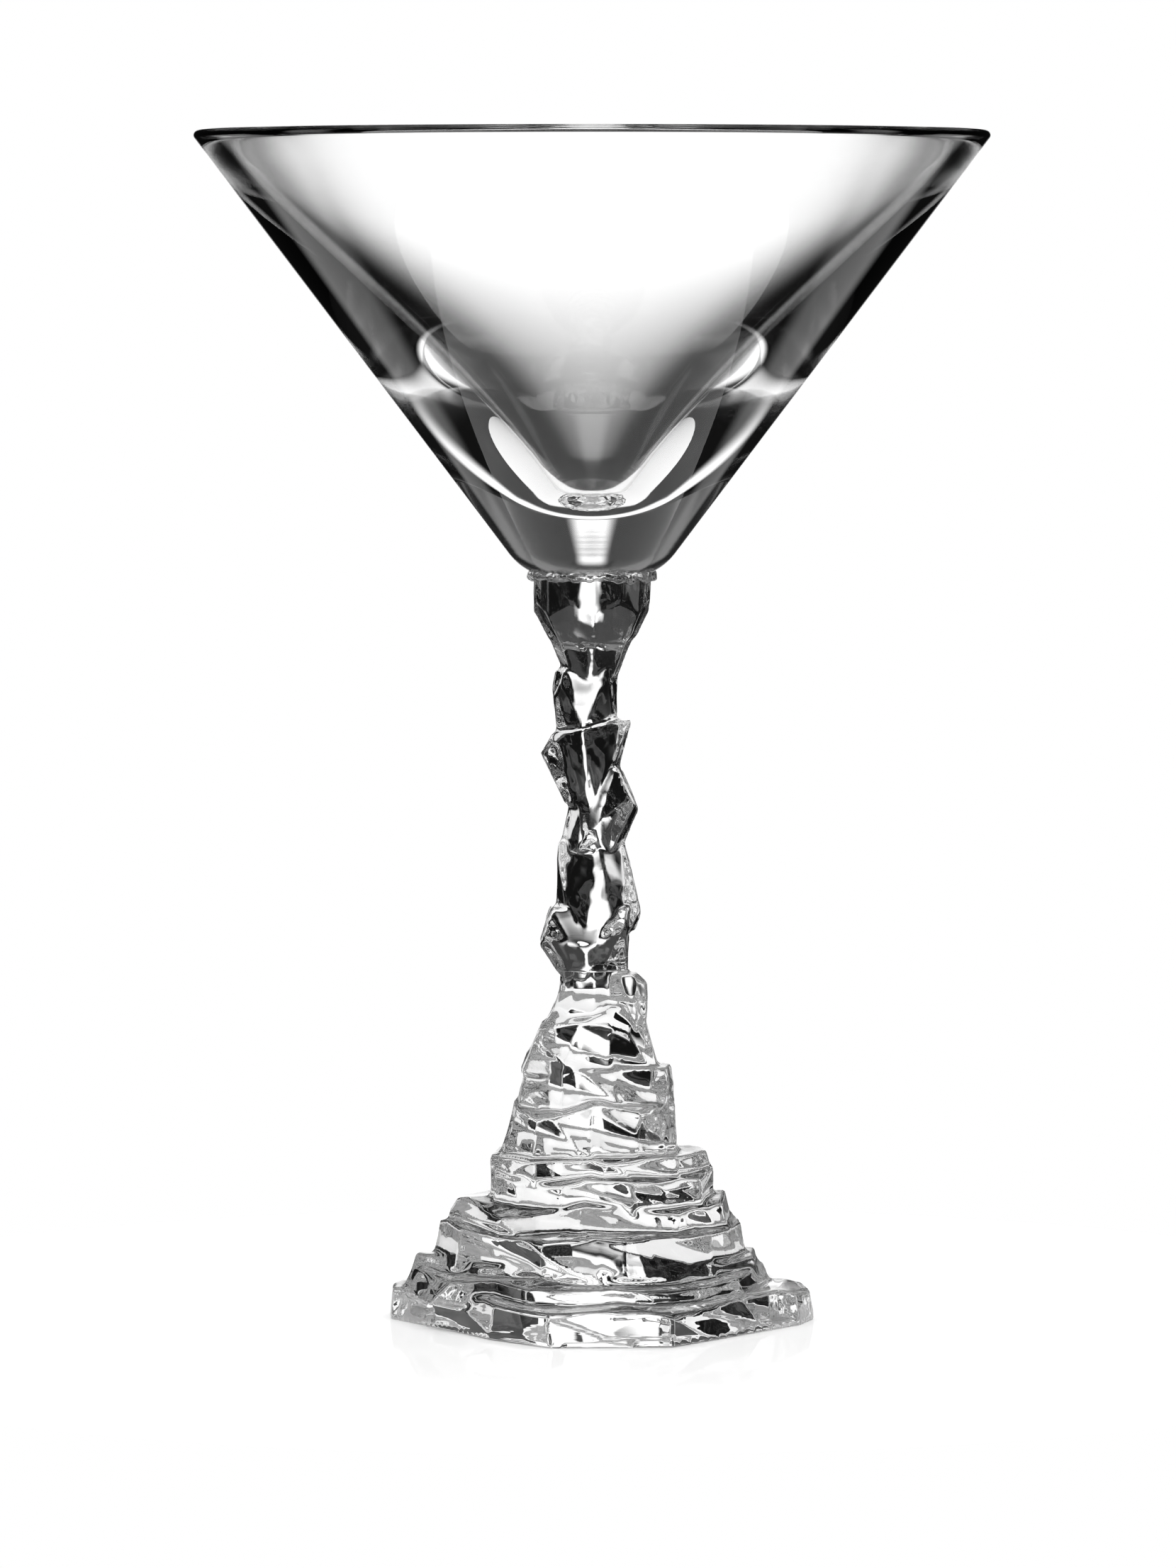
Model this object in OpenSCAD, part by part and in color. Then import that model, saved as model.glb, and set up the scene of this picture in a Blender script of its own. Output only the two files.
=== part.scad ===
// Martini glass in clear crystal: a thick cone bowl on a stem of faceted knops, over a foot
// of rock-like ledges. Millimetres, +Z up. The origin is the centre of the foot's underside,
// on the bowl's axis, and -Y is the front.

/* [Bowl] */
// Outer diameter of the bowl at the rim
rim_d = 140; // [110:1:170]
// Height of the bowl, from the lowest point of its domed underside to the rim
bowl_h = 79; // [64:1:96]
// Thickness of the upper wall, square to its surface
wall = 3.9; // [3:0.1:4.8]
// Radius that rounds both edges of the rim
lip_r = 1; // [0.6:0.1:1.4]
// Depth below the rim at which the wall starts to thicken
thin_wall_h = 25; // [18:1:32]
// Thickness of solid glass under the cavity, on the axis
base_t = 16; // [12:0.5:20]
// Radius of the cavity's rounded floor
floor_r = 14; // [10:0.5:18]
// Radius that rounds the bowl's underside into its cone
dome_r = 11.5; // [9:0.5:14]
// Diameter of the flat at the lowest part of the underside
dome_flat_d = 11; // [8:0.5:14]

/* [Stem] */
// Width of the faceted head that the bowl sits in
head_w = 20.8; // [17:0.1:25]
// Height of the head's band of upright facets, up to the bowl's lowest point
head_h = 9.4; // [7.5:0.1:11.5]
// Width of the taper under the head
taper_w = 13.6; // [11.4:0.1:16.4]
// Height of the taper from the head to the first knop
taper_h = 6.6; // [5.4:0.1:8]
// Width of the first knop, under the taper
knop_1_w = 11.6; // [9.6:0.1:14]
// Height of the first knop
knop_1_h = 10; // [8.2:0.1:12]
// Width of the second knop
knop_2_w = 16; // [13.2:0.1:19.4]
// Height of the second knop
knop_2_h = 10.5; // [8.7:0.1:12.6]
// Width of the third knop
knop_3_w = 14.4; // [12:0.1:17.4]
// Height of the third knop
knop_3_h = 10; // [8.2:0.1:12]
// Width of the fourth knop
knop_4_w = 16.8; // [14:0.1:20.2]
// Height of the fourth knop
knop_4_h = 14.5; // [12:0.1:17.4]
// Width of the fifth knop, on the foot
knop_5_w = 15.8; // [13:0.1:19]
// Height of the fifth knop
knop_5_h = 8; // [6.6:0.1:9.6]

/* [Foot] */
// Width of the slab that the glass stands on
slab_w = 74.4; // [62:0.2:89.4]
// Thickness of the slab
slab_h = 6.6; // [5.4:0.1:8]
// Width of the lowest ledge
ledge_1_w = 64; // [53:0.5:77]
// Height of the lowest ledge
ledge_1_h = 5.4; // [4.4:0.1:6.5]
// Width of the second ledge
ledge_2_w = 55; // [46:0.5:66]
// Height of the second ledge
ledge_2_h = 10; // [8.3:0.1:12]
// Width of the third ledge
ledge_3_w = 40; // [33:0.5:48]
// Height of the third ledge
ledge_3_h = 8; // [6.6:0.1:9.6]
// Width of the block under the spire
shoulder_w = 30; // [25:0.5:36]
// Height of the block under the spire
shoulder_h = 15; // [12.5:0.1:18]
// Width of the spire
spire_w = 19; // [16:0.1:22.8]
// Height of the spire
spire_h = 17; // [14.2:0.1:20.4]

/* [Joint of bowl and stem] */
// Radius of the clear bead squeezed out round the joint
bead_r = 0.9; // [0.7:0.1:1.1]
// How much further the bead stands out at its thickest, at the front right
bead_swell = 0.5; // [0.3:0.1:0.7]

/* [Hidden] */
$fn = 96;

// Heights of the foot's levels, from the table up
ledge_1_z = slab_h;
ledge_2_z = ledge_1_z + ledge_1_h;
ledge_3_z = ledge_2_z + ledge_2_h;
shoulder_z = ledge_3_z + ledge_3_h;
spire_z = shoulder_z + shoulder_h;
foot_top = spire_z + spire_h;

// Heights of the stem's levels, from the foot up
knop_4_z = foot_top + knop_5_h;
knop_3_z = knop_4_z + knop_4_h;
knop_2_z = knop_3_z + knop_3_h;
knop_1_z = knop_2_z + knop_2_h;
taper_z = knop_1_z + knop_1_h;
head_z = taper_z + taper_h;

// The bowl's underside, rim and cavity floor
bowl_z = head_z + head_h;
rim_z = bowl_z + bowl_h;
floor_z = bowl_z + base_t;

// Blocks run this far into the ones above and below, so that they fuse
bite = 1.2;
// Knops whose joint slants run this far
long_bite = 3;
// Share of a ledge's height that its lower step takes
step_share = 0.6;
// How far the spur beside the spire stops below the foot's top
spur_drop = 0.8;
// Size of the rough glass that the facets are cut from
blank_w = 2 * max(slab_w, rim_d);
// Sides of the head's upright band, and half as many below it
head_sides = 14;
// Way that one of the head's facets faces, near the front
head_turn = -100;
// Steps along each rounded part of the bowl's outline
arc_steps = 8;

// ---- Outline helpers for the bowl, in [radius, height] ----

function along(angle) = [cos(angle), sin(angle)];

// Points on an arc round a centre, between two angles
function arc(centre, r, from, to, steps = arc_steps) =
    [for (i = [0:steps]) centre + r * along(from + (to - from) * i / steps)];

// Angle of the outward normal of the line that touches two circles on their outer side
function touch_angle(a, a_r, b, b_r) =
    atan2(b[1] - a[1], b[0] - a[0]) - acos((a_r - b_r) / norm(b - a));

// Circles that the outline rolls round: the domed underside and the two edges of the rim
dome_at = [dome_flat_d / 2, bowl_z + dome_r];
outer_lip_at = [rim_d / 2 - lip_r, rim_z - lip_r];
side_angle = touch_angle(dome_at, dome_r, outer_lip_at, lip_r);
inner_lip_at = outer_lip_at - [(wall - 2 * lip_r) / cos(side_angle), 0];

// The cavity's wall follows the outside down to the bend, then narrows to the round floor
bend_drop = (thin_wall_h - lip_r) * along(side_angle - 90) / cos(side_angle);
bend_at = inner_lip_at + lip_r * along(side_angle + 180) + bend_drop;
floor_at = [0, floor_z + floor_r];
bend_reach = norm(bend_at - floor_at);
bend_angle = atan2(bend_at[1] - floor_at[1], bend_at[0] - floor_at[0]);
floor_angle = bend_angle - acos(floor_r / bend_reach);

module bowl_outside() {
    rotate_extrude() polygon(concat(
        [[0, rim_z], [0, bowl_z]],
        arc(dome_at, dome_r, -90, side_angle),
        arc(outer_lip_at, lip_r, side_angle, 90)
    ));
}

module bowl() {
    color([0.93, 0.94, 0.95]) rotate_extrude() polygon(concat(
        [[0, bowl_z]],
        arc(dome_at, dome_r, -90, side_angle),
        arc(outer_lip_at, lip_r, side_angle, 90),
        arc(inner_lip_at, lip_r, 90, side_angle + 180),
        [bend_at],
        arc(floor_at, floor_r, floor_angle, -90)
    ));
}

// ---- Facets ----

// Cuts away all that lies beyond one facet. A side is [turn, low, high]: the way the facet
// faces, 0 at the right and -90 at the front, and how far out it stands at the block's
// bottom and at its top, as shares of the block's half width.
module cut_facet(low_z, high_z, half_w, side) {
    low = side[1] * half_w;
    high = side[2] * half_w;
    lean = atan2(low - high, high_z - low_z);
    rotate([0, 0, side[0]])
        translate([low, 0, low_z])
            rotate([0, -lean, 0])
                translate([0, -blank_w / 2, -blank_w])
                    cube([blank_w, blank_w, 2 * blank_w]);
}

// A block of glass between two heights, with all its facets cut. It runs on by the bite
// at either end unless told otherwise.
module cut_block(low_z, high_z, width, middle, sides, below = bite, above = bite) {
    translate(middle) difference() {
        translate([-width, -width, low_z - below])
            cube([2 * width, 2 * width, high_z - low_z + below + above]);
        for (side = sides)
            cut_facet(low_z, high_z, width / 2, side);
    }
}

// ---- Stem ----

// Upright facets over half as many that slope in, each centred on an upright edge
head_facets = concat(
    [for (i = [0:head_sides - 1]) [head_turn + i * 360 / head_sides, 0.99, 0.99]],
    [for (i = [0:head_sides / 2 - 1]) [head_turn + (i - 0.25) * 720 / head_sides, 0.74, 1.2]]
);
taper_facets = [
    [-113, 0.76, 1.04], [-61, 0.74, 1.08], [-10, 0.76, 1.12], [41, 0.8, 1.06],
    [93, 0.74, 1.04], [144, 0.68, 1.02], [-164, 0.68, 1.02]
];
knop_1_facets = [
    [-95, 0.92, 0.88], [-95, 1.15, 0.74], [-134, 0.72, 1.15], [-52, 0.7, 1.15],
    [-176, 0.88, 1.06], [-168, 1.25, 0.82], [-14, 0.92, 0.94], [38, 0.84, 1],
    [86, 0.96, 0.8], [132, 0.82, 1]
];
knop_2_facets = [
    [-152, 1.33, 0.62], [162, 1.33, 0.62], [176, 0.65, 1.28], [-122, 0.6, 0.74],
    [-64, 0.66, 0.7], [-12, 0.62, 0.95], [36, 0.62, 0.82], [82, 0.66, 0.72],
    [128, 0.6, 0.9], [-166, 6, 0.1]
];
knop_3_facets = [
    [-102, 1, 0.62], [-72, 0.68, 1.12], [-4, 1.35, 0.74], [-14, 0.55, 1.24],
    [-178, 0.96, 0.62], [-142, 0.88, 0.7], [52, 0.72, 0.82], [96, 0.92, 0.66],
    [142, 0.72, 0.8]
];
knop_4_facets = [
    [-120, 0.7, 0.68], [-86, 0.7, 0.74], [-56, 0.8, 0.62], [-106, 0.88, 0.52],
    [-46, 1.02, 0.46], [-4, 1.06, 0.6], [-14, 0.88, 1.5], [178, 0.84, 0.78],
    [-150, 0.76, 0.86], [44, 0.74, 0.7], [92, 0.78, 0.66], [138, 0.76, 0.72]
];
knop_5_facets = [
    [-178, 1.26, 0.9], [174, 0.52, 1.32], [-94, 1.16, 0.74], [-112, 0.6, 1.18],
    [-62, 0.62, 1.12], [-6, 0.95, 1], [46, 0.68, 0.94], [92, 0.84, 0.78], [136, 0.66, 1]
];

// The head alone, before the bowl's dome is let into it
module head_block() {
    cut_block(head_z, bowl_z, head_w, [0, 0, 0], head_facets, above = dome_r / 2);
}

module stem() {
    color([0.88, 0.9, 0.92]) difference() {
        union() {
            head_block();
            cut_block(taper_z, head_z, taper_w, [-0.4, 0, 0], taper_facets, above = 0);
            cut_block(knop_1_z, taper_z, knop_1_w, [-1.2, 0, 0], knop_1_facets, above = 0);
            cut_block(knop_2_z, knop_1_z, knop_2_w, [-1, 0, 0], knop_2_facets,
                below = long_bite);
            cut_block(knop_3_z, knop_2_z, knop_3_w, [1.2, 0, 0], knop_3_facets,
                above = long_bite);
            cut_block(knop_4_z, knop_3_z, knop_4_w, [0.5, 0, 0], knop_4_facets, above = 0);
            cut_block(foot_top, knop_4_z, knop_5_w, [-1.2, 0, 0], knop_5_facets,
                below = 0, above = long_bite);
        }
        bowl_outside();
    }
}

// ---- Foot ----

slab_facets = [
    [-88, 1.07, 1.05], [-38, 0.93, 0.91], [-19, 1, 0.98], [20, 0.95, 0.92], [54, 0.96, 0.93],
    [86, 0.98, 0.96], [120, 0.95, 0.93], [152, 0.93, 0.91], [-178, 0.99, 0.98],
    [-147, 0.86, 0.85], [-135, 0.92, 0.92], [-60, 1.7, 0.9], [-160, 1.9, 0.84], [0, 1.7, 0.88]
];
ledge_1_facets = [
    [-64, 0.9, 0.84], [-28, 0.94, 0.9], [-2, 0.97, 0.93], [36, 0.92, 0.87], [74, 0.93, 0.88],
    [112, 0.92, 0.88], [148, 0.93, 0.88], [178, 1.02, 0.96], [-150, 0.92, 0.84],
    [-112, 0.84, 0.8], [-90, 2, 0.74], [60, 2.2, 0.76]
];
ledge_1_step_facets = [
    [-96, 1, 0.98], [-56, 1, 0.96], [-14, 0.98, 0.95], [22, 0.93, 0.9], [58, 0.94, 0.9],
    [96, 0.97, 0.93], [132, 0.93, 0.9], [164, 0.97, 0.93], [-160, 1, 0.94], [-128, 0.98, 0.97],
    [-70, 2.6, 0.6]
];
ledge_2_facets = [
    [-74, 0.86, 0.78], [-38, 0.9, 0.84], [-4, 0.98, 0.86], [30, 0.9, 0.82], [68, 0.9, 0.82],
    [104, 0.9, 0.82], [142, 0.9, 0.82], [178, 1.02, 0.86], [-150, 0.9, 0.8], [-112, 0.88, 0.8],
    [-128, 2.2, 0.66], [-50, 2.4, 0.7], [90, 2.4, 0.68]
];
ledge_2_step_facets = [
    [-94, 1.02, 0.97], [-58, 0.99, 0.95], [-20, 0.98, 0.95], [12, 0.98, 0.94],
    [48, 0.94, 0.91], [86, 0.96, 0.92], [124, 0.95, 0.91], [160, 0.97, 0.93],
    [-166, 1, 0.95], [-130, 0.96, 0.92], [-104, 2.8, 0.62], [-30, 2.9, 0.7]
];
ledge_3_facets = [
    [-106, 0.9, 0.86], [-66, 0.9, 0.86], [-24, 0.94, 0.9], [2, 1.04, 0.96], [44, 0.9, 0.86],
    [84, 0.92, 0.86], [126, 0.9, 0.86], [172, 0.95, 0.95], [-148, 0.9, 0.88],
    [-86, 2.6, 0.7], [10, 2.4, 0.88], [190, 2.2, 0.82]
];
ledge_3_step_facets = [
    [-88, 1.04, 1.02], [-52, 1.02, 0.99], [-12, 1.02, 0.99], [24, 0.96, 0.94], [64, 0.96, 0.94],
    [104, 0.95, 0.92], [146, 0.92, 0.9], [-176, 0.96, 0.95], [-140, 0.94, 0.92],
    [-120, 2.4, 0.7], [-40, 2.6, 0.8]
];
shoulder_facets = [
    [-178, 1.08, 0.78], [-134, 0.92, 0.72], [-96, 0.9, 0.7], [-58, 0.92, 0.78],
    [-12, 0.98, 0.93], [34, 0.92, 0.82], [76, 0.9, 0.76], [118, 0.92, 0.76], [152, 0.96, 0.76],
    [-100, 2, 0.62], [-12, 2.7, 0.97], [160, 2.3, 0.72], [60, 2.3, 0.72]
];
shoulder_step_facets = [
    [-176, 1.09, 0.94], [-150, 1.04, 0.94], [-112, 1, 0.9], [-76, 1.02, 0.94], [-38, 1, 0.96],
    [-2, 1.03, 0.99], [32, 0.96, 0.92], [72, 0.96, 0.88], [112, 0.97, 0.88], [148, 0.98, 0.88],
    [-130, 2.2, 0.6], [-60, 2.4, 0.8]
];
spire_facets = [
    [-178, 0.9, 0.52], [-142, 0.86, 0.54], [-104, 0.84, 0.58], [-62, 0.84, 0.6],
    [-4, 0.98, 0.72], [42, 0.84, 0.62], [84, 0.86, 0.56], [132, 0.88, 0.54]
];
spire_step_facets = [
    [-178, 1.22, 0.66], [-128, 1.1, 0.7], [-92, 1.06, 0.84], [-50, 1.1, 0.86], [-6, 1.3, 0.98],
    [38, 1.06, 0.86], [80, 1.08, 0.8], [124, 1.1, 0.76], [-110, 2.2, 0.5], [160, 2, 0.5]
];
spur_facets = [
    [-4, 1.05, 0.95], [-4, 3.3, 0.57], [-84, 1.1, 0.8], [-40, 1.06, 0.94], [92, 1, 0.8],
    [180, 0.9, 0.6], [-130, 1, 0.8], [44, 1.06, 0.9]
];

// A ledge of the foot: a block, and a wider step round its lower part
module ledge(low_z, high_z, width, middle, sides, step_sides) {
    cut_block(low_z, high_z, width, middle, sides, above = 0);
    cut_block(low_z, low_z + step_share * (high_z - low_z), width, middle, step_sides,
        above = 0);
}

module foot() {
    color([0.9, 0.92, 0.94]) {
        cut_block(0, slab_h, slab_w, [1, 0, 0], slab_facets, below = 0, above = 0);
        ledge(ledge_1_z, ledge_2_z, ledge_1_w, [-0.5, 0, 0], ledge_1_facets,
            ledge_1_step_facets);
        ledge(ledge_2_z, ledge_3_z, ledge_2_w, [0, 0, 0], ledge_2_facets, ledge_2_step_facets);
        ledge(ledge_3_z, shoulder_z, ledge_3_w, [1, 0, 0], ledge_3_facets, ledge_3_step_facets);
        ledge(shoulder_z, spire_z, shoulder_w, [0, 0, 0], shoulder_facets,
            shoulder_step_facets);
        ledge(spire_z, foot_top, spire_w, [-0.5, 0, 0], spire_facets, spire_step_facets);
        cut_block(spire_z, foot_top - spur_drop, spire_w / 2, [4.8, -1, 0], spur_facets,
            above = 0);
    }
}

// ---- Bead ----

// Height of the bowl's underside at a distance from the axis, out to where its cone starts
function dome_z(r) =
    let (out = min(max(r - dome_at[0], 0), dome_r * cos(side_angle)))
    dome_at[1] - sqrt(dome_r * dome_r - out * out);

seam_r = head_w / 2;
seam_at = [seam_r, dome_z(seam_r) - bead_r / 3];

module join_bead() {
    color([0.8, 0.85, 0.9]) difference() {
        union() {
            rotate_extrude() translate(seam_at) circle(bead_r, $fn = 24);
            for (turn = [-20:-14:-62])
                rotate([0, 0, turn])
                    translate([seam_at[0], 0, seam_at[1]])
                        sphere(bead_r + bead_swell * abs(sin(5 * turn)), $fn = 24);
        }
        bowl_outside();
        head_block();
    }
}

bowl();
join_bead();
stem();
foot();
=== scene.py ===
# %% [markdown]
# # A martini glass in clear crystal
#
# The glass is a thick cone bowl, a stem worked into faceted knops, and a foot of rock-like
# ledges. The three are separate pieces of glass, fused for good with a bead of clear glass
# at the joint. Clear glass has no colour of its own: everything the eye reads in it is the
# studio, bent through it. So this lesson is about three things: true shapes with softened
# edges, joints that light can cross, and a studio worth looking at through the glass.

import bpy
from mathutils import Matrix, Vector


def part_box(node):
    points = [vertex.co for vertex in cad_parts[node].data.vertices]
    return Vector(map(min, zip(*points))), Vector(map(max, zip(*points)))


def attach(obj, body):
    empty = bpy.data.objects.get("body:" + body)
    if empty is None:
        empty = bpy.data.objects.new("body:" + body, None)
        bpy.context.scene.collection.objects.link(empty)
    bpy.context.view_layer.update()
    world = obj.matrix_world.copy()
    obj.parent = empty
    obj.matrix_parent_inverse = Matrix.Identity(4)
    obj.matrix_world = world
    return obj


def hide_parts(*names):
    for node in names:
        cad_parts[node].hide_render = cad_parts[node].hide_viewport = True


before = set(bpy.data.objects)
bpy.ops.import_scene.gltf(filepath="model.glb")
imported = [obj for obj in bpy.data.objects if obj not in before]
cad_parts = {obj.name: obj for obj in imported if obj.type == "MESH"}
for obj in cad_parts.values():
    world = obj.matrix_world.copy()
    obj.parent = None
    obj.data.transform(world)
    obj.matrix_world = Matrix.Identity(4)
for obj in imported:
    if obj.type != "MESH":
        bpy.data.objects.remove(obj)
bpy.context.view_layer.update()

# %% [markdown]
# ## Tools and units
#
# Blender counts in metres and a glassmaker in millimetres, so the lengths on the glass are
# written in millimetres and multiplied by MM, while the camera and the lamp are placed in
# metres. Three helpers do what each piece needs: turn a hex colour to linear light, add a
# shader node, and put a finished mesh in the scene.

# %% Units and colour
import math

import bmesh
import bpy
from mathutils import Vector, noise

MM = 0.001
scene = bpy.context.scene


def linear(hex_code):
    """An sRGB hex colour as the linear RGBA that Blender's sockets take."""
    channels = [int(hex_code[i:i + 2], 16) / 255 for i in (1, 3, 5)]
    curve = [c / 12.92 if c <= 0.04045 else ((c + 0.055) / 1.055) ** 2.4 for c in channels]
    return (*curve, 1.0)


WHITE = linear("#FFFFFF")
print("white as linear light:", WHITE)

# %% Nodes and pieces


def add_node(tree, kind, settings=None, **inputs):
    """Adds one node, sets its properties, and sets or links its inputs.

    An input is named as its socket is, with _ for a space, or by its number, as _0.
    """
    node = tree.nodes.new(kind)
    for name, value in (settings or {}).items():
        setattr(node, name, value)
    for name, value in inputs.items():
        socket = node.inputs[int(name[1:]) if name[1:].isdigit() else name.replace("_", " ")]
        if isinstance(value, bpy.types.NodeSocket):
            tree.links.new(value, socket)
        else:
            socket.default_value = value
    return node


def add_piece(name, mesh, *materials):
    """Makes an object of a finished mesh, with its materials, and puts it in the scene."""
    piece = bpy.data.objects.new(name, mesh)
    scene.collection.objects.link(piece)
    for material in materials:
        mesh.materials.append(material)
    return piece


# %% [markdown]
# ## The camera
#
# A tall, narrow object is drawn best from far away with a long lens, which keeps the rim and
# the foot in proportion. The lens stands just under the rim's height, so the rim is almost a
# straight line while the ledges of the foot are seen a little from above.

# %% Camera
CAMERA_AWAY = 1.40
CAMERA_HEIGHT = 0.190
AIM_HEIGHT = 0.0948
AIM_SIDE = -0.0007
VIEW_HEIGHT = 0.277
SENSOR = 36.0

camera_data = bpy.data.cameras.new("camera")
camera = bpy.data.objects.new("camera", camera_data)
scene.collection.objects.link(camera)
camera.location = (AIM_SIDE, -CAMERA_AWAY, CAMERA_HEIGHT)
line_of_sight = Vector((AIM_SIDE, 0, AIM_HEIGHT)) - camera.location
camera.rotation_euler = line_of_sight.to_track_quat("-Z", "Y").to_euler()
camera_data.sensor_width = SENSOR
camera_data.lens = SENSOR * line_of_sight.length / VIEW_HEIGHT
scene.camera = camera
print("lens in mm:", round(camera_data.lens, 1))

# %% [markdown]
# ## The studio
#
# Glass on white is lit from behind, the bright-field way. A bright backdrop fills the frame
# and dark drapes stand beyond it on both sides. Rays through thin or flat glass reach the
# backdrop and look white, and rays bent hard at an edge reach the drapes and draw it black.
# Lamps and cloths could be modelled, but a world that depends only on direction does the same
# with less noise. It is built from soft strips: each is a band of turns round the horizon,
# cut off at a lowest and a highest rise above it.

# %% Directions round the glass
world = bpy.data.worlds.new("studio")
scene.world = world
world.use_nodes = True
sky = world.node_tree
sky.nodes.clear()
way = add_node(sky, "ShaderNodeTexCoord").outputs["Generated"]
split = add_node(sky, "ShaderNodeSeparateXYZ", Vector=way)
turn = add_node(sky, "ShaderNodeMath", {"operation": "ARCTAN2"},
                _0=split.outputs["X"], _1=split.outputs["Y"]).outputs[0]
rise = add_node(sky, "ShaderNodeMath", {"operation": "ARCSINE"},
                _0=split.outputs["Z"]).outputs[0]

# %% Strips of light
STRIP_SOFT = math.radians(7)
SOFT_STEP = {"interpolation_type": "SMOOTHSTEP"}


def strips(count, first, half, bottom, top, edge, strength):
    """Strips of light at even turns round the horizon, with soft edges.

    Each is made of three soft steps: one in turn, falling, and two in rise, up at the
    bottom and down at the top. A negative softness makes a step fall.
    """
    past = add_node(sky, "ShaderNodeMath", {"operation": "SUBTRACT"}, _0=turn, _1=first)
    off = add_node(sky, "ShaderNodeMath", {"operation": "PINGPONG"},
                   _0=past.outputs[0], _1=math.pi / count).outputs[0]
    shine = strength
    for value, at, soft in ((off, half, -STRIP_SOFT), (rise, bottom, edge), (rise, top, -edge)):
        step = add_node(sky, "ShaderNodeMapRange", SOFT_STEP, Value=value,
                        From_Min=at - soft / 2, From_Max=at + soft / 2)
        shine = add_node(sky, "ShaderNodeMath", {"operation": "MULTIPLY"},
                         _0=step.outputs[0], _1=shine).outputs[0]
    return shine


# %% [markdown]
# ## Panels, low strips and ceiling
#
# Four bright panels stand on the horizon, one behind the glass and the others a quarter turn
# apart, with drapes between them, so that the glass is lit in the same way from every side.
# Between the panels, four low strips lie under the horizon. They hardly show from the
# front, but whoever looks down through the glass at an angle sees them and finds it clear.
# The ceiling is dim and starts high up, because the solid base of the bowl bends level rays
# about 60 degrees upwards, and that is the grey that the base shows.

# %% Panels on the horizon
PANELS_ROUND = 4
PANEL_HALF = math.radians(7.5)
PANEL_FOOT = math.radians(-16)
PANEL_TOP = math.radians(23)
PANEL_EDGE = math.radians(14)
PANEL_LIGHT = 1.3

panels = strips(PANELS_ROUND, 0, PANEL_HALF, PANEL_FOOT, PANEL_TOP, PANEL_EDGE, PANEL_LIGHT)
print("degrees of horizon lit:", round(math.degrees(2 * PANEL_HALF * PANELS_ROUND)))

# %% Low strips between the panels
RUNNERS_ROUND = 4
RUNNER_TURN = math.radians(45)
RUNNER_HALF = math.radians(13)
RUNNER_TOP = math.radians(-12)
RUNNER_FOOT = math.radians(-38)
RUNNER_EDGE = math.radians(6)
RUNNER_LIGHT = 0.85

runners = strips(RUNNERS_ROUND, RUNNER_TURN, RUNNER_HALF, RUNNER_FOOT, RUNNER_TOP,
                 RUNNER_EDGE, RUNNER_LIGHT)
print("degrees lit below the horizon:", round(math.degrees(2 * RUNNER_HALF * RUNNERS_ROUND)))

# %% Drapes and ceiling
DRAPE_LIGHT = 0.006
CEILING_FROM = math.radians(43)
CEILING_FULL = math.radians(57)
CEILING_LIGHT = 0.14

both = add_node(sky, "ShaderNodeMath", {"operation": "ADD"}, _0=panels, _1=runners)
sides = add_node(sky, "ShaderNodeMath", {"operation": "ADD"},
                 _0=both.outputs[0], _1=DRAPE_LIGHT)
ceiling = add_node(sky, "ShaderNodeMapRange", SOFT_STEP, Value=rise,
                   From_Min=CEILING_FROM, From_Max=CEILING_FULL)
light = add_node(sky, "ShaderNodeMath", {"operation": "MULTIPLY_ADD"},
                 _0=ceiling.outputs[0], _1=CEILING_LIGHT, _2=sides.outputs[0])
around = add_node(sky, "ShaderNodeBackground", Color=WHITE, Strength=light.outputs[0])

# %% [markdown]
# ## What the camera sees beside the glass
#
# Beside the glass the frame is plain white on every side, like paper. So the world has two
# backgrounds: rays that come straight from the camera meet the plain white one, and rays that
# have crossed or left a surface meet the panels and drapes.

# %% Plain white behind everything
PAPER_LIGHT = 1.0

paper = add_node(sky, "ShaderNodeBackground", Color=WHITE, Strength=PAPER_LIGHT)
direct = add_node(sky, "ShaderNodeLightPath").outputs["Is Camera Ray"]
shown = add_node(sky, "ShaderNodeMixShader", _0=direct, _1=around.outputs[0],
                 _2=paper.outputs[0])
add_node(sky, "ShaderNodeOutputWorld", Surface=shown.outputs[0])
print("world nodes:", len(sky.nodes))

# %% [markdown]
# ## The table
#
# A disc of white acrylic, cast between sheets of glass, so its face is glossy enough to hold
# a faint mirror image of the foot. Lit from above and glowing a little, it turns as white as
# the backdrop, and no horizon shows behind the bowl. It is small on purpose: a wide table
# would be all that the foot bends into view, and the foot would look like milk.

# %% Cast acrylic
ACRYLIC_GLOSS = 0.13
ACRYLIC_ROUGHNESS = 0.06
ACRYLIC_GLOW = 0.24

# Cast acrylic: an opaque white body under a smooth face. The eye gets a soft white with a
# weak, slightly blurred reflection. The glow stands for the light that a lightbox sends
# through the sheet from below.
acrylic = bpy.data.materials.new("white_acrylic_sheet_cast")
acrylic.use_nodes = True
sheet = acrylic.node_tree
sheet.nodes.clear()
body = add_node(sheet, "ShaderNodeBsdfDiffuse", Color=linear("#F5F5F5"))
gloss = add_node(sheet, "ShaderNodeBsdfGlossy", Color=WHITE, Roughness=ACRYLIC_ROUGHNESS)
glow = add_node(sheet, "ShaderNodeEmission", Color=WHITE, Strength=ACRYLIC_GLOW)
top = add_node(sheet, "ShaderNodeMixShader", _0=ACRYLIC_GLOSS, _1=body.outputs[0],
               _2=gloss.outputs[0])
lit = add_node(sheet, "ShaderNodeAddShader", _0=top.outputs[0], _1=glow.outputs[0])
add_node(sheet, "ShaderNodeOutputMaterial", Surface=lit.outputs[0])
print("table material:", acrylic.name)

# %% Table top
TABLE_RADIUS = 160 * MM
TABLE_GAP = 0.05 * MM
TABLE_SIDES = 96

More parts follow.
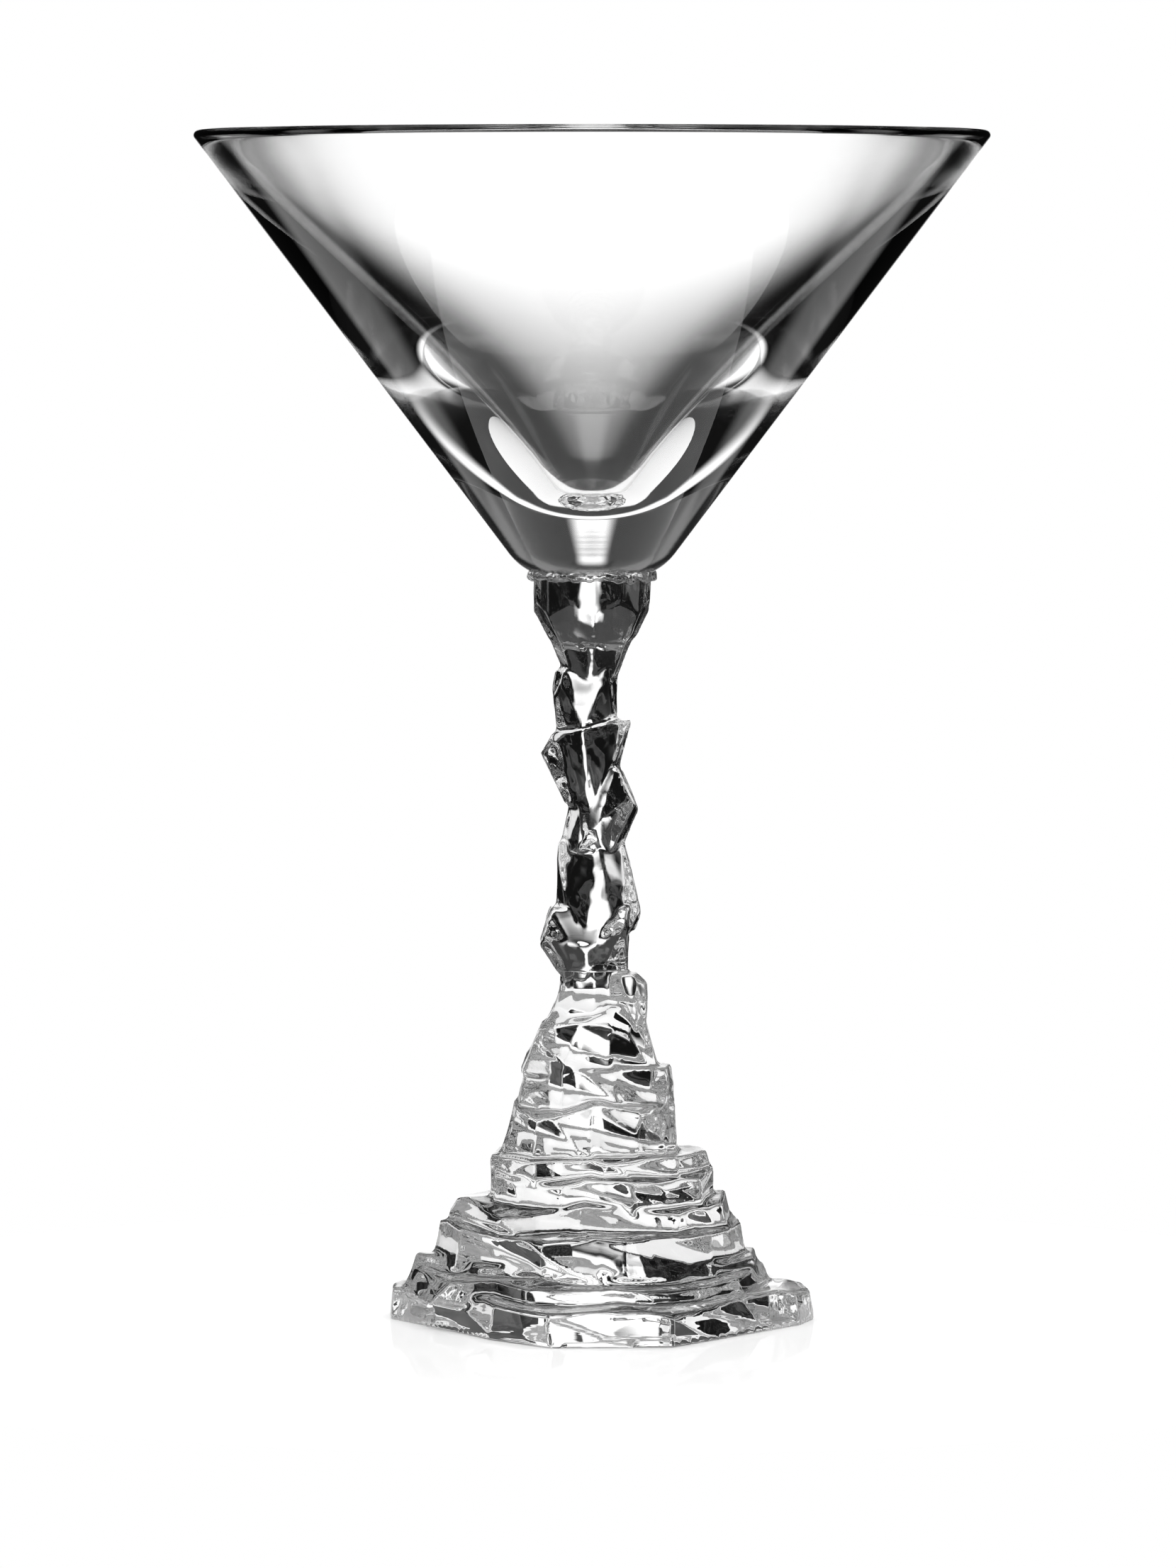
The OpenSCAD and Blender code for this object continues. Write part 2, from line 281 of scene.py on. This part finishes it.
disc = bmesh.new()
bmesh.ops.create_circle(disc, cap_ends=True, segments=TABLE_SIDES, radius=TABLE_RADIUS)
table_mesh = bpy.data.meshes.new("table")
disc.to_mesh(table_mesh)
disc.free()
table_top = add_piece("table", table_mesh, acrylic)
table_top.location.z = -TABLE_GAP
print("table across in mm:", round(2 * TABLE_RADIUS / MM))

# %% [markdown]
# ## The softbox
#
# A large square lamp overhead lights the table and gives the foot its weak, wide shadow. It
# is kept out of reflections and out of what shows through the glass, where so large a square
# of light would fill the facets and ledges with white.

# %% Overhead softbox
SOFTBOX_SIDE = 1.6
SOFTBOX_HEIGHT = 1.3
SOFTBOX_POWER = 27.0

softbox_data = bpy.data.lights.new("softbox", "AREA")
softbox_data.shape = "SQUARE"
softbox_data.size = SOFTBOX_SIDE
softbox_data.energy = SOFTBOX_POWER
softbox = bpy.data.objects.new("softbox", softbox_data)
softbox.location.z = SOFTBOX_HEIGHT
softbox.visible_camera = False
softbox.visible_glossy = False
softbox.visible_transmission = False
scene.collection.objects.link(softbox)
print("softbox watts for each square metre:", round(SOFTBOX_POWER / SOFTBOX_SIDE ** 2, 1))

# %% [markdown]
# ## Lead crystal
#
# Crystal is glass with enough lead oxide in it to bend light harder than window glass does:
# an IOR near 1.54, where window glass has 1.52 and water 1.33. Its surface comes out of the
# fire or off the polishing wheel, so it is mirror smooth, with a faint waviness. A smooth
# noise, in a bump of 0.02 mm at most, bends what is seen through it just enough to say that
# it was made by hand. The same noise gives it a trace of roughness.

# %% Crystal
CRYSTAL_IOR = 1.54
WAVE_DETAIL = 1.0
WAVE_FALL = 0.4
MARKS_TOP = 144 * MM
MARKS_FADE = 7 * MM
MARKS_HAZE = 0.14
MARKS_DETAIL = 2.0


def crystal(name, wave_mm, wave_depth, polish, marks_mm=0.0, marks_depth=0.0):
    """Clear crystal whose surface waves a little, and can have turning marks low down.

    Wavelengths and depths are in millimetres, and polish is the highest roughness.
    """
    material = bpy.data.materials.new(name)
    material.use_nodes = True
    tree = material.node_tree
    surface = tree.nodes["Principled BSDF"]
    surface.inputs["Base Color"].default_value = WHITE
    surface.inputs["IOR"].default_value = CRYSTAL_IOR
    surface.inputs["Transmission Weight"].default_value = 1.0
    place = add_node(tree, "ShaderNodeTexCoord").outputs["Object"]
    waves = add_node(tree, "ShaderNodeTexNoise", Vector=place, Scale=1 / (wave_mm * MM),
                     Detail=WAVE_DETAIL, Roughness=WAVE_FALL).outputs["Fac"]
    ripple = add_node(tree, "ShaderNodeBump", Height=waves, Strength=1.0,
                      Distance=wave_depth * MM).outputs["Normal"]
    haze = add_node(tree, "ShaderNodeMapRange", Value=waves, To_Min=0.0,
                    To_Max=polish).outputs[0]
    if marks_depth:
        height = add_node(tree, "ShaderNodeSeparateXYZ", Vector=place).outputs["Z"]
        marks = add_node(tree, "ShaderNodeTexNoise", {"noise_dimensions": "1D"},
                         W=height, Scale=1 / (marks_mm * MM), Detail=MARKS_DETAIL)
        low_down = add_node(tree, "ShaderNodeMapRange", {"interpolation_type": "SMOOTHSTEP"},
                            Value=height, From_Min=MARKS_TOP,
                            From_Max=MARKS_TOP - MARKS_FADE).outputs[0]
        cut = add_node(tree, "ShaderNodeMath", {"operation": "MULTIPLY"},
                       _0=marks.outputs["Fac"], _1=low_down)
        ripple = add_node(tree, "ShaderNodeBump", Height=cut.outputs[0], Strength=1.0,
                          Distance=marks_depth * MM, Normal=ripple).outputs["Normal"]
        haze = add_node(tree, "ShaderNodeMath", {"operation": "MULTIPLY_ADD"},
                        _0=low_down, _1=MARKS_HAZE, _2=haze).outputs[0]
    tree.links.new(ripple, surface.inputs["Normal"])
    tree.links.new(haze, surface.inputs["Roughness"])
    return material


# %% [markdown]
# ## Four finishes of one crystal
#
# The glass is the same all through, and only the way its surface was made differs. The joint
# is a fifth case: where two pieces are fused there is no surface left, and light goes
# straight through. So the faces there have a plain transparent material.

# %% The finishes
# Turned and fire-polished: the wall is so even that it bends the studio in long clean curves.
# Only the solid base keeps faint turning marks and a haze. Real marks are some tenths of a
# millimetre apart and a few thousandths deep, and these are drawn coarser so that they show.
turned_crystal = crystal("lead_crystal_turned_and_fire_polished", wave_mm=40,
                         wave_depth=0.004, polish=0.003, marks_mm=0.9, marks_depth=0.012)

# Pressed and fire-polished: the mould leaves a soft unevenness every few millimetres, which
# makes each facet of the ledges shimmer.
pressed_crystal = crystal("lead_crystal_pressed_and_fire_polished", wave_mm=5,
                          wave_depth=0.02, polish=0.02)

# Squeezed out hot and left to freeze: tight ripples that break the light into small sparks.
squeezed_crystal = crystal("lead_crystal_squeezed_out_hot", wave_mm=2,
                           wave_depth=0.02, polish=0.01)

# Cut on the wheel and polished in acid: flat facets with a slow, shallow wave, so each one
# is nearly a clean mirror or window.
cut_crystal = crystal("lead_crystal_cut_and_acid_polished", wave_mm=6,
                      wave_depth=0.012, polish=0.02)

# Fused: no surface at all, so nothing is seen.
fused = bpy.data.materials.new("fused_crystal_joint")
fused.use_nodes = True
fused.node_tree.nodes.clear()
clear = add_node(fused.node_tree, "ShaderNodeBsdfTransparent")
add_node(fused.node_tree, "ShaderNodeOutputMaterial", Surface=clear.outputs[0])
print("materials:", sorted(material.name for material in bpy.data.materials))

# %% [markdown]
# ## The bowl
#
# The bowl is blown, turned and fire-polished, so it is round to a hair. A profile spun about
# the axis says that best. The outside is one straight cone that rolls over into a domed
# underside. The inside follows it down for the first few centimetres and then narrows
# faster, which leaves a heavy lens of solid glass above the stem.

# %% Lines and arcs of a profile


def along(angle):
    """The unit step in a direction, as [radius, height]."""
    return Vector((math.cos(angle), math.sin(angle)))


def arc(centre, radius, start, end, steps):
    """Points on an arc, from one angle to another, as [radius, height]."""
    turns = [start + (end - start) * i / steps for i in range(steps + 1)]
    return [centre + radius * along(turn) for turn in turns]


def line(start, end, steps):
    """Points between two others, without the two themselves."""
    return [start.lerp(end, i / steps) for i in range(1, steps)]


# %% Outside of the bowl
LIP = 1.0 * MM
DOME_ROUND = 11.5 * MM
DOME_FLAT = 5.5 * MM
DOME_STEPS = 24
WALL_STEPS = 24
LIP_STEPS = 10

bowl_low, bowl_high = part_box("bowl")
rim_radius = (bowl_high.x - bowl_low.x) / 2
rim_z, bowl_z = bowl_high.z, bowl_low.z

dome_at = Vector((DOME_FLAT, bowl_z + DOME_ROUND))
lip_at = Vector((rim_radius - LIP, rim_z - LIP))
across = lip_at - dome_at
side = math.atan2(across.y, across.x) - math.acos((DOME_ROUND - LIP) / across.length)
dome = arc(dome_at, DOME_ROUND, -math.pi / 2, side, DOME_STEPS)
lip = arc(lip_at, LIP, side, math.pi / 2, LIP_STEPS)
outside = dome + line(dome[-1], lip[0], WALL_STEPS) + lip
print("outer half angle:", round(90 + math.degrees(side), 1))

# %% [markdown]
# ## The cavity
#
# Where the cavity starts to narrow faster, a turned glass has no corner: the glass is soft
# and the tool sweeps through. A corner would draw a hard ring in what is seen through the
# wall, so the two straight lines are joined by a long curve that takes up most of both.

# %% Inside of the bowl
WALL = 3.9 * MM
THIN_WALL = 25 * MM
BASE = 16 * MM
FLOOR_ROUND = 14 * MM
BEND_EASE = 0.8
INNER_STEPS = 10
EASE_STEPS = 12
TAPER_STEPS = 12
FLOOR_STEPS = 24

inner_lip_at = lip_at - Vector(((WALL - 2 * LIP) / math.cos(side), 0))
inner_lip = arc(inner_lip_at, LIP, math.pi / 2, side + math.pi, LIP_STEPS)
bend = (inner_lip_at + LIP * along(side + math.pi)
        + (THIN_WALL - LIP) / math.cos(side) * along(side - math.pi / 2))
floor_at = Vector((0, bowl_z + BASE + FLOOR_ROUND))
to_bend = bend - floor_at
floor_side = math.atan2(to_bend.y, to_bend.x) - math.acos(FLOOR_ROUND / to_bend.length)
floor = arc(floor_at, FLOOR_ROUND, floor_side, -math.pi / 2, FLOOR_STEPS)

above_bend = bend.lerp(inner_lip[-1], BEND_EASE)
below_bend = bend.lerp(floor[0], BEND_EASE)
shares = [step / EASE_STEPS for step in range(EASE_STEPS + 1)]
ease = [above_bend.lerp(bend, t).lerp(bend.lerp(below_bend, t), t) for t in shares]
inside = (inner_lip + line(inner_lip[-1], ease[0], INNER_STEPS) + ease
          + line(ease[-1], floor[0], TAPER_STEPS) + floor)

profile = [Vector((0, bowl_z)), Vector((DOME_FLAT / 2, bowl_z))] + outside + inside
print("profile points:", len(profile))

# %% Spin the bowl
BOWL_SIDES = 320


def spin(name, outline, sides):
    """Spins an outline that starts and ends on the axis into a closed mesh."""
    mesh = bpy.data.meshes.new(name)
    points = [Vector((0, 0, outline[0].y)), Vector((0, 0, outline[-1].y))]
    rings = outline[1:-1]
    for point in rings:
        for i in range(sides):
            turn = 2 * math.pi * i / sides
            points.append(Vector((point.x * math.cos(turn), point.x * math.sin(turn), point.y)))
    faces = []
    for i in range(sides):
        j = (i + 1) % sides
        faces.append((0, 2 + j, 2 + i))
        for ring in range(len(rings) - 1):
            here, above = 2 + ring * sides, 2 + (ring + 1) * sides
            faces.append((here + i, here + j, above + j, above + i))
        last = 2 + (len(rings) - 1) * sides
        faces.append((last + i, last + j, 1))
    mesh.from_pydata(points, [], faces)
    mesh.validate()
    for face in mesh.polygons:
        face.use_smooth = True
    return mesh


# %% Fuse the bowl's seat
FUSED = 1
SEAM_RADIUS = 10.3 * MM

bowl_mesh = spin("bowl_glass", profile, BOWL_SIDES)
bowl = add_piece("bowl_glass", bowl_mesh, turned_crystal, fused)
for face in bowl_mesh.polygons:
    if face.center.z < dome_at.y and face.center.xy.length < SEAM_RADIUS and face.normal.z < 0:
        face.material_index = FUSED
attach(bowl, "root")
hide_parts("bowl")
print("bowl faces:", len(bowl_mesh.polygons))

# %% [markdown]
# ## The stem and the foot
#
# Both are worked hot and then polished in the fire, which melts every sharp arris into a
# narrow round and leaves the facets very slightly uneven. A bevel would need clean edges to
# follow, and these facets run into each other at all angles. So the facets are filled with
# small cubes, skinned over and smoothed: the skin is closed and even everywhere, and its
# edges come out rounded by about the width of a cube. Stem and foot are melted as one skin
# and cut apart afterwards, so that no groove is left where they meet.

# %% Gather the CAD solids
LAP = 1.0 * MM
WELD = 0.001 * MM
SAME_HEIGHT = 0.01 * MM

foot_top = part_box("foot")[1].z


def gather(names):
    """The named CAD solids in one mesh in millimetres, run into each other where they meet."""
    gathered = bmesh.new()
    for name in names:
        part = bmesh.new()
        part.from_mesh(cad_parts[name].data)
        bmesh.ops.remove_doubles(part, verts=part.verts, dist=WELD)
        for vert in part.verts:
            if abs(vert.co.z - foot_top) < SAME_HEIGHT:
                vert.co.z += LAP if name == "foot" else -LAP
            elif name == "stem" and vert.co.z > bowl_z - SAME_HEIGHT:
                vert.co.z += LAP / 2
            vert.co /= MM
        holder = bpy.data.meshes.new("holder")
        part.to_mesh(holder)
        part.free()
        gathered.from_mesh(holder)
        bpy.data.meshes.remove(holder)
    mesh = bpy.data.meshes.new("gathered")
    gathered.to_mesh(mesh)
    gathered.free()
    return mesh


# %% Melt the facets together
CUBE = 0.45 * MM
SMOOTH_STEPS = 4
SMOOTH_SHARE = 0.5


def melt(mesh, cube, steps):
    """Fills a mesh with cubes, skins them over and smooths the skin."""
    rough = add_piece("rough", mesh)
    fill = rough.modifiers.new("fill", "REMESH")
    fill.mode = "VOXEL"
    fill.voxel_size = cube / MM
    fill.use_smooth_shade = True
    soften = rough.modifiers.new("soften", "SMOOTH")
    soften.factor = SMOOTH_SHARE
    soften.iterations = steps
    view = bpy.context.evaluated_depsgraph_get()
    made = bpy.data.meshes.new_from_object(rough.evaluated_get(view))
    bpy.data.objects.remove(rough)
    return made


melted = melt(gather(["stem", "foot"]), CUBE, SMOOTH_STEPS)
print("melted faces:", len(melted.polygons))

# %% [markdown]
# ## Chips
#
# Each ledge and knop is broken up into shallow hollows that meet in crisp ridges, as in rock
# or chipped flint. That is the pattern of a cell noise: the squared distance to the nearest
# of many scattered points is 0 in the middle of a cell and highest on its border, and in
# between it has the round section of a shell. The skin is pushed out and in by it, more at
# the front and back than at the sides, where the outline would show it. In the foot the
# ledges are also lifted and lowered, and the slab stays calm, so that it still stands flat.

# %% One chip
CHIP_MEAN = 0.4
CHIP_SLANT = 0.45


def chip(place, size):
    """Height in a shallow, shell-shaped chip: 0 in its middle, and rising to a crisp ridge."""
    slanted = place.z + CHIP_SLANT * place.x
    cell = Vector((place.x / size.x, place.y / size.y, slanted / size.z))
    return noise.voronoi(cell, distance_metric="DISTANCE_SQUARED")[0][0]


# %% Chip the stem and the foot
STEM_CHIP = Vector((9, 9, 9)) * MM
STEM_CHIP_DEPTH = 1.0 * MM
FOOT_CHIP = Vector((28, 28, 13)) * MM
FOOT_CHIP_DEPTH = 4.6 * MM
LEDGE_CHIP = Vector((20, 20, 60)) * MM
LEDGE_CHIP_DEPTH = 2.2 * MM
PROFILE_SHARE = 0.35
SLAB_SHARE = 0.15
SLAB_CALM = 16 * MM
HEAD_CALM = 4 * MM
JOIN_CALM = 3 * MM
UNDERSIDE_CALM = 6 * MM
UNDERSIDE_FLAT = 0.3 * MM

for vert in melted.vertices:
    place = vert.co * MM
    out = Vector((place.x, place.y, 0)).normalized()
    in_foot = place.z < foot_top
    size = FOOT_CHIP if in_foot else STEM_CHIP
    depth = FOOT_CHIP_DEPTH if in_foot else STEM_CHIP_DEPTH
    share = PROFILE_SHARE + (1 - PROFILE_SHARE) * abs(out.y)
    share *= min(SLAB_SHARE + place.z / SLAB_CALM, 1)
    at_join = min(abs(place.z - foot_top) / JOIN_CALM, 1)
    at_head = min((bowl_z - place.z) / HEAD_CALM, 1)
    calm = max(at_join * at_head, 0)
    moved = place + out * (chip(place, size) - CHIP_MEAN) * depth * share * calm
    if place.z <= UNDERSIDE_FLAT:
        moved.z = max(place.z, 0)
    elif in_foot:
        lift = (chip(place, LEDGE_CHIP) - CHIP_MEAN) * LEDGE_CHIP_DEPTH
        moved.z += lift * min(place.z / UNDERSIDE_CALM, 1) * calm
    vert.co = moved
print("chipped vertices:", len(melted.vertices))

# %% [markdown]
# ## Part the stem from the foot
#
# Stem and foot are two pieces, so the skin is cut level at the height where they meet, and
# each half is closed with one flat face. Both of those faces are fused, and so is the hollow
# in the stem's head that the bowl sits in.

# %% Cut at the foot's top


def keep_side(source, name, height, above):
    """Cuts a mesh at a height, keeps one side and closes it with a fused face."""
    cut = bmesh.new()
    cut.from_mesh(source)
    everything = cut.verts[:] + cut.edges[:] + cut.faces[:]
    bmesh.ops.bisect_plane(cut, geom=everything, plane_co=(0, 0, height),
                           plane_no=(0, 0, 1), clear_inner=above, clear_outer=not above)
    rim = [edge for edge in cut.edges if edge.is_boundary]
    caps = bmesh.ops.contextual_create(cut, geom=rim)["faces"]
    for cap in caps:
        cap.material_index = FUSED
        cap.smooth = False
    bmesh.ops.recalc_face_normals(cut, faces=cut.faces)
    mesh = bpy.data.meshes.new(name)
    cut.to_mesh(mesh)
    open_edges = sum(edge.is_boundary for edge in cut.edges)
    cut.free()
    print(name, "faces:", len(mesh.polygons), "caps:", len(caps), "open edges:", open_edges)
    return mesh


stem_mesh = keep_side(melted, "stem_glass", foot_top, above=True)
foot_mesh = keep_side(melted, "foot_glass", foot_top, above=False)
stem = add_piece("stem_glass", stem_mesh, cut_crystal, fused)
foot = add_piece("foot_glass", foot_mesh, pressed_crystal, fused)

# %% Fuse the seat in the stem's head
FACING_UP = 0.5


def dome_height(radius):
    """Height of the bowl's underside at a distance from the axis."""
    out = min(max(radius - DOME_FLAT, 0), DOME_ROUND)
    return dome_at.y - math.sqrt(DOME_ROUND ** 2 - out ** 2)


seat_faces = 0
for face in stem_mesh.polygons:
    reach, height = face.center.xy.length, face.center.z
    on_dome = abs(height - dome_height(reach)) < LAP
    in_head = height > bowl_z - LAP and reach < SEAM_RADIUS
    if face.normal.z > FACING_UP and on_dome and in_head:
        face.material_index = FUSED
        seat_faces += 1
print("fused faces under the bowl:", seat_faces)
for piece, node, slot in ((stem, "stem", "stem_crystal"), (foot, "foot", "foot_crystal")):
    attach(piece, "root")
    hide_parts(node)

# %% [markdown]
# ## The joint bead
#
# When the hot bowl is set on the stem, a little glass is squeezed out all round and freezes as
# an uneven clear bead. It is melted like the stem, from finer cubes, and then pushed in and
# out along its own surface by a smooth noise, as surface tension gathers it into lumps.

# %% Bead
BEAD_CUBE = 0.16 * MM
BEAD_SMOOTH_STEPS = 3
BEAD_LUMP = 0.5 * MM
BEAD_LUMP_SIZE = 1.3 * MM

bead_mesh = melt(gather(["join_bead"]), BEAD_CUBE, BEAD_SMOOTH_STEPS)
normals = [vert.normal.copy() for vert in bead_mesh.vertices]
for vert, normal in zip(bead_mesh.vertices, normals):
    place = vert.co * MM
    vert.co = place + normal * noise.noise(place / BEAD_LUMP_SIZE) * BEAD_LUMP
bead_mesh.name = "joint_bead"
bead = add_piece("joint_bead", bead_mesh, squeezed_crystal)
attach(bead, "root")
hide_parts("join_bead")
print("bead faces:", len(bead_mesh.polygons))

# %% [markdown]
# ## The picture
#
# Light that goes in through one facet can be thrown about inside the glass many times before
# it comes out. Each turn is a bounce, and where the bounces run out the picture goes black.
# The plain view keeps the table as white as it is lit, where a film-like one would grey it.

# %% Bounces and view
GLASS_BOUNCES = 32
GLOSSY_BOUNCES = 16

scene.view_settings.view_transform = "Standard"
scene.cycles.max_bounces = GLASS_BOUNCES
scene.cycles.transmission_bounces = GLASS_BOUNCES
scene.cycles.glossy_bounces = GLOSSY_BOUNCES
scene.cycles.transparent_max_bounces = GLASS_BOUNCES
